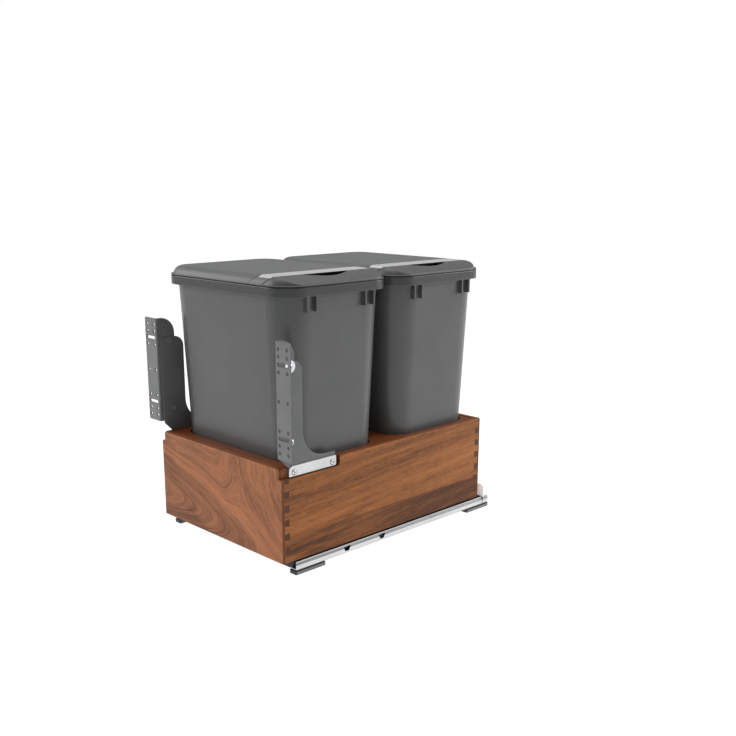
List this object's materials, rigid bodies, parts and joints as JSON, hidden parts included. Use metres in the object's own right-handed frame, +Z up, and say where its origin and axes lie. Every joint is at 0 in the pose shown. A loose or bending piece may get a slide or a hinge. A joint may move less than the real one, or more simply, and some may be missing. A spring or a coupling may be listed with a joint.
{
  "type": "pull out trash cabinet",
  "caption": "Pull-out waste insert for a base cabinet: dovetailed walnut drawer on undermount runners, lidded tapered bins and steel door brackets.",
  "frame": {"origin": "on the cabinet floor under the feet, on the middle plane, at the middle of the overall length", "axes": "+X to the right seen from the front, +Y towards the back of the cabinet, +Z up"},
  "size_m": [0.434, 0.5674, 0.52],
  "materials": {
    "walnut": "satin clear lacquer",
    "maple_board": "satin clear lacquer",
    "bin_plastic": "fine satin grain",
    "lid_plastic": "fine satin grain",
    "bracket_paint": "satin powder coat",
    "zinc_steel": "zinc plated",
    "bright_steel": "bright plated",
    "black_plastic": "matte",
    "cage_plastic": "matte",
    "damper_steel": "satin"
  },
  "bodies": {
    "cabinet_side": {"cabinet_rail_left": "zinc_steel", "cabinet_rail_right": "zinc_steel", "front_foot_left": "black_plastic", "front_foot_right": "black_plastic", "rear_foot_left": "black_plastic", "rear_foot_right": "black_plastic", "foot_rivets_left": "bright_steel", "foot_rivets_right": "bright_steel", "damper_housing_left": "black_plastic", "damper_housing_right": "black_plastic", "damper_cylinder_left": "damper_steel", "damper_cylinder_right": "damper_steel"},
    "middle_rails": {"middle_rail_left": "zinc_steel", "middle_rail_right": "zinc_steel"},
    "lower_cages": {"lower_cage_left": "cage_plastic", "lower_cage_right": "cage_plastic", "lower_rollers_left": "bright_steel", "lower_rollers_right": "bright_steel"},
    "upper_cages": {"upper_cage_left": "cage_plastic", "upper_cage_right": "cage_plastic", "upper_rollers_left": "bright_steel", "upper_rollers_right": "bright_steel"},
    "drawer": {"front_panel": "walnut", "back_panel": "walnut", "bottom_panel": "maple_board", "top_panel": "walnut", "side_panel_left": "walnut", "side_panel_right": "walnut", "drawer_rail_left": "zinc_steel", "drawer_rail_right": "zinc_steel", "rear_hook_left": "zinc_steel", "rear_hook_right": "zinc_steel", "latch_body_left": "black_plastic", "latch_body_right": "black_plastic", "box_bracket_left": "bracket_paint", "box_bracket_right": "bracket_paint", "clamp_plate_left": "zinc_steel", "clamp_plate_right": "zinc_steel", "clamp_screws_left": "bright_steel", "clamp_screws_right": "bright_steel", "door_washers_left": "bright_steel", "door_washers_right": "bright_steel", "door_screws_left": "bright_steel", "door_screws_right": "bright_steel", "door_nuts_left": "bright_steel", "door_nuts_right": "bright_steel"},
    "door_angle_left": {"door_plate_left": "bracket_paint"},
    "door_angle_right": {"door_plate_right": "bracket_paint"},
    "latch_trigger_left": {"latch_lever_left": "black_plastic"},
    "latch_trigger_right": {"latch_lever_right": "black_plastic"},
    "front_bin_body": {"front_bin": "bin_plastic"},
    "rear_bin_body": {"rear_bin": "bin_plastic"},
    "front_lid": {"front_lid_frame": "lid_plastic", "front_hinge_pin": "bright_steel"},
    "rear_lid": {"rear_lid_frame": "lid_plastic", "rear_hinge_pin": "bright_steel"},
    "front_lid_flap": {"front_flap": "lid_plastic"},
    "rear_lid_flap": {"rear_flap": "lid_plastic"}
  },
  "joints": [
    {"name": "drawer_slide", "type": "slide", "parent": "cabinet_side", "child": "drawer", "axis": [0, -1, 0], "range_m": [0, 0.533]},
    {"name": "middle_rail_slide", "type": "slide", "parent": "cabinet_side", "child": "middle_rails", "axis": [0, -1, 0], "range_m": [0, 0.2665]},
    {"name": "lower_cage_slide", "type": "slide", "parent": "cabinet_side", "child": "lower_cages", "axis": [0, -1, 0], "range_m": [0, 0.13325]},
    {"name": "upper_cage_slide", "type": "slide", "parent": "cabinet_side", "child": "upper_cages", "axis": [0, -1, 0], "range_m": [0, 0.39975]},
    {"name": "door_adjust_left", "type": "slide", "parent": "drawer", "child": "door_angle_left", "axis": [0, -1, 0], "range_m": [-0.004, 0.004]},
    {"name": "latch_release_left", "type": "hinge", "parent": "drawer", "child": "latch_trigger_left", "pos_m": [-0.127, -0.22925, 0.023], "axis": [0, 0, 1], "range_deg": [0, 12], "stiffness_Nm_per_rad": 0.05},
    {"name": "door_adjust_right", "type": "slide", "parent": "drawer", "child": "door_angle_right", "axis": [0, -1, 0], "range_m": [-0.004, 0.004]},
    {"name": "latch_release_right", "type": "hinge", "parent": "drawer", "child": "latch_trigger_right", "pos_m": [0.127, -0.22925, 0.023], "axis": [0, 0, -1], "range_deg": [0, 12], "stiffness_Nm_per_rad": 0.05},
    {"name": "front_bin_lift", "type": "slide", "parent": "drawer", "child": "front_bin_body", "axis": [0, 0, 1], "range_m": [0, 0.18]},
    {"name": "front_lid_lift", "type": "slide", "parent": "front_bin_body", "child": "front_lid", "axis": [0, 0, 1], "range_m": [0, 0.1]},
    {"name": "front_flap_hinge", "type": "hinge", "parent": "front_lid", "child": "front_lid_flap", "pos_m": [-0.176, -0.1345, 0.5095], "axis": [0, -1, 0], "range_deg": [0, 100]},
    {"name": "rear_bin_lift", "type": "slide", "parent": "drawer", "child": "rear_bin_body", "axis": [0, 0, 1], "range_m": [0, 0.18]},
    {"name": "rear_lid_lift", "type": "slide", "parent": "rear_bin_body", "child": "rear_lid", "axis": [0, 0, 1], "range_m": [0, 0.1]},
    {"name": "rear_flap_hinge", "type": "hinge", "parent": "rear_lid", "child": "rear_lid_flap", "pos_m": [-0.176, 0.13, 0.5095], "axis": [0, -1, 0], "range_deg": [0, 100]}
  ],
  "couplings": [
    {"joint": "middle_rail_slide", "follows": "drawer_slide", "ratio": 0.5},
    {"joint": "lower_cage_slide", "follows": "drawer_slide", "ratio": 0.25},
    {"joint": "upper_cage_slide", "follows": "drawer_slide", "ratio": 0.75}
  ]
}
